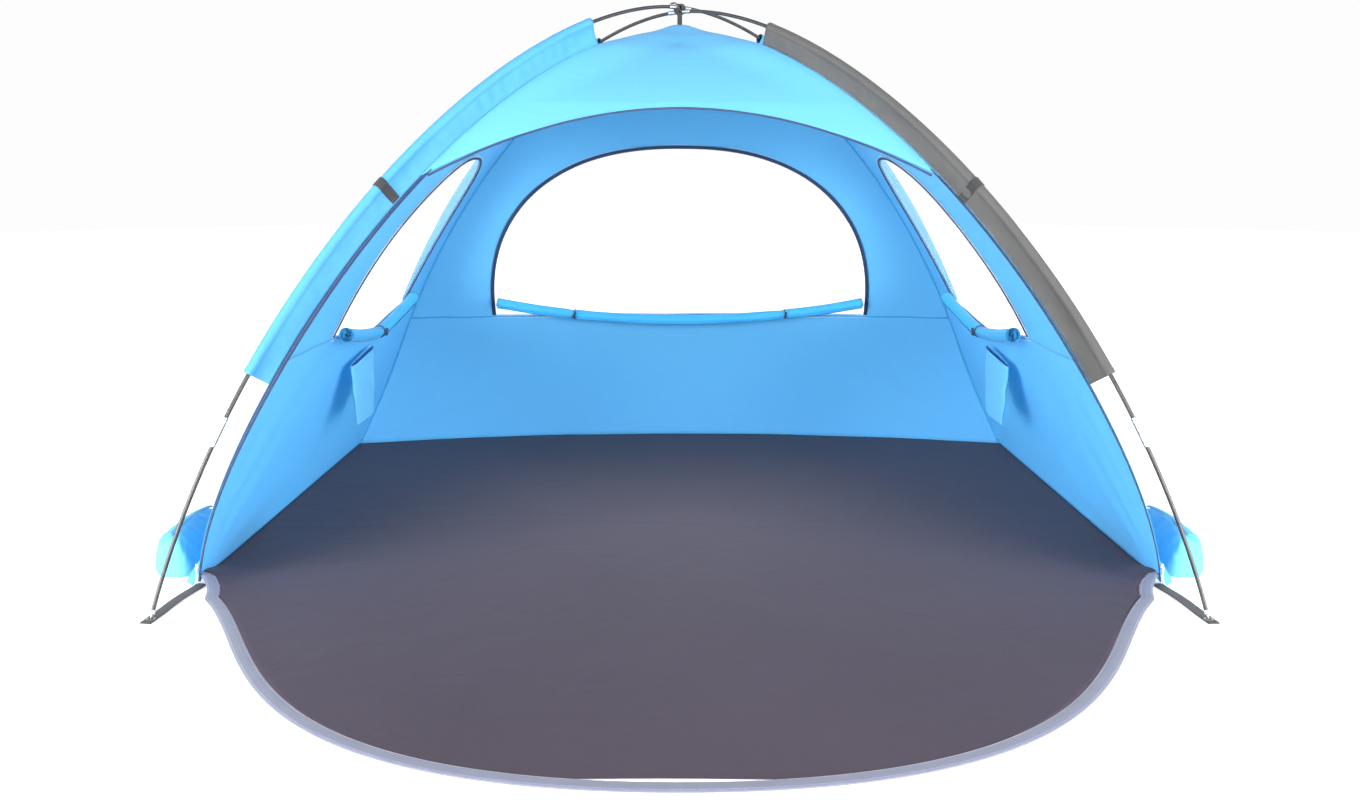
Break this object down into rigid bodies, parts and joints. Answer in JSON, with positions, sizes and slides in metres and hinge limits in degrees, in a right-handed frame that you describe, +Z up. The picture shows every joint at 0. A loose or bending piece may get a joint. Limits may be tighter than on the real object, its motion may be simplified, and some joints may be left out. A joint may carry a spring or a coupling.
{
  "type": "beach shelter tent",
  "caption": "Dome beach shelter with two crossing poles, an open front, mesh windows with rolled covers, and a zip-up porch floor.",
  "frame": {"origin": "on the ground under the crossing of the poles, on the underside of the floor", "axes": "+X to the right seen from the open front, +Y from the front to the back wall, +Z up"},
  "size_m": [2.34, 2.2765, 1.2885],
  "materials": {
    "pole_tube": "black pultruded tube, slight sheen",
    "shock_cord": "elastic cord",
    "ferrule": "bright plated steel",
    "sleeve_grey": "plain-weave polyester, matt",
    "sleeve_blue": "plain-weave polyester, slight sheen",
    "canopy": "coated polyester, slight sheen",
    "window_mesh": "fine white netting",
    "flap": "coated polyester, slight sheen",
    "tie_cord": "dark braided cord with a toggle",
    "groundsheet": "coated groundsheet, satin",
    "hem": "folded binding tape",
    "webbing": "ribbed webbing",
    "pocket": "single-layer polyester",
    "slider": "plated zip slider with a plain pull"
  },
  "bodies": {
    "shelter": {"apex_tie": "webbing", "back_wall": "canopy", "corner_strap_front_left": "webbing", "corner_strap_front_right": "webbing", "corner_strap_rear_left": "webbing", "corner_strap_rear_right": "webbing", "floor": "groundsheet", "left_wall": "canopy", "left_window_mesh": "window_mesh", "pole_a_ferrule_1": "ferrule", "pole_a_ferrule_2": "ferrule", "pole_a_ferrule_3": "ferrule", "pole_a_ferrule_4": "ferrule", "pole_a_ferrule_5": "ferrule", "pole_a_section_1": "pole_tube", "pole_a_section_2": "pole_tube", "pole_a_section_3": "pole_tube", "pole_a_section_4": "pole_tube", "pole_a_section_5": "pole_tube", "pole_a_section_6": "pole_tube", "pole_a_shock_cord": "shock_cord", "pole_a_tip_front": "ferrule", "pole_a_tip_rear": "ferrule", "pole_b_ferrule_1": "ferrule", "pole_b_ferrule_2": "ferrule", "pole_b_ferrule_3": "ferrule", "pole_b_ferrule_4": "ferrule", "pole_b_ferrule_5": "ferrule", "pole_b_section_1": "pole_tube", "pole_b_section_2": "pole_tube", "pole_b_section_3": "pole_tube", "pole_b_section_4": "pole_tube", "pole_b_section_5": "pole_tube", "pole_b_section_6": "pole_tube", "pole_b_shock_cord": "shock_cord", "pole_b_tip_front": "ferrule", "pole_b_tip_rear": "ferrule", "rear_window_mesh": "window_mesh", "right_wall": "canopy", "right_window_mesh": "window_mesh", "roof_visor": "canopy", "sand_pocket_left": "pocket", "sand_pocket_right": "pocket", "sleeve_front_left": "sleeve_blue", "sleeve_front_right": "sleeve_grey", "sleeve_rear_left": "sleeve_blue", "sleeve_rear_right": "sleeve_blue", "storage_pocket_left": "pocket", "storage_pocket_right": "pocket"},
    "porch": {"porch_floor": "groundsheet", "porch_hem": "hem"},
    "rear_flap": {"rear_flap_roll": "flap", "rear_flap_tie_left": "tie_cord", "rear_flap_tie_right": "tie_cord"},
    "left_flap": {"left_flap_roll": "flap", "left_flap_tie": "tie_cord"},
    "right_flap": {"right_flap_roll": "flap", "right_flap_tie": "tie_cord"},
    "left_slider": {"door_zip_slider_left": "slider"},
    "right_slider": {"door_zip_slider_right": "slider"}
  },
  "joints": [
    {"name": "porch_fold", "type": "hinge", "parent": "shelter", "child": "porch", "pos_m": [0, -0.603, 0.0015], "axis": [-1, 0, 0], "range_deg": [0, 98]},
    {"name": "rear_flap_swing", "type": "hinge", "parent": "shelter", "child": "rear_flap", "pos_m": [0, 0.74194, 0.395], "axis": [1, 0, 0], "range_deg": [0, 60]},
    {"name": "left_flap_swing", "type": "hinge", "parent": "shelter", "child": "left_flap", "pos_m": [-0.85054, 0, 0.445], "axis": [0, 1, 0], "range_deg": [0, 40]},
    {"name": "right_flap_swing", "type": "hinge", "parent": "shelter", "child": "right_flap", "pos_m": [0.85054, 0, 0.445], "axis": [0, -1, 0], "range_deg": [0, 40]},
    {"name": "left_zip_slide", "type": "slide", "parent": "shelter", "child": "left_slider", "axis": [0.3663, -0.4168, 0.8319], "range_m": [0, 0.1]},
    {"name": "right_zip_slide", "type": "slide", "parent": "shelter", "child": "right_slider", "axis": [-0.3663, -0.4168, 0.8319], "range_m": [0, 0.1]}
  ]
}
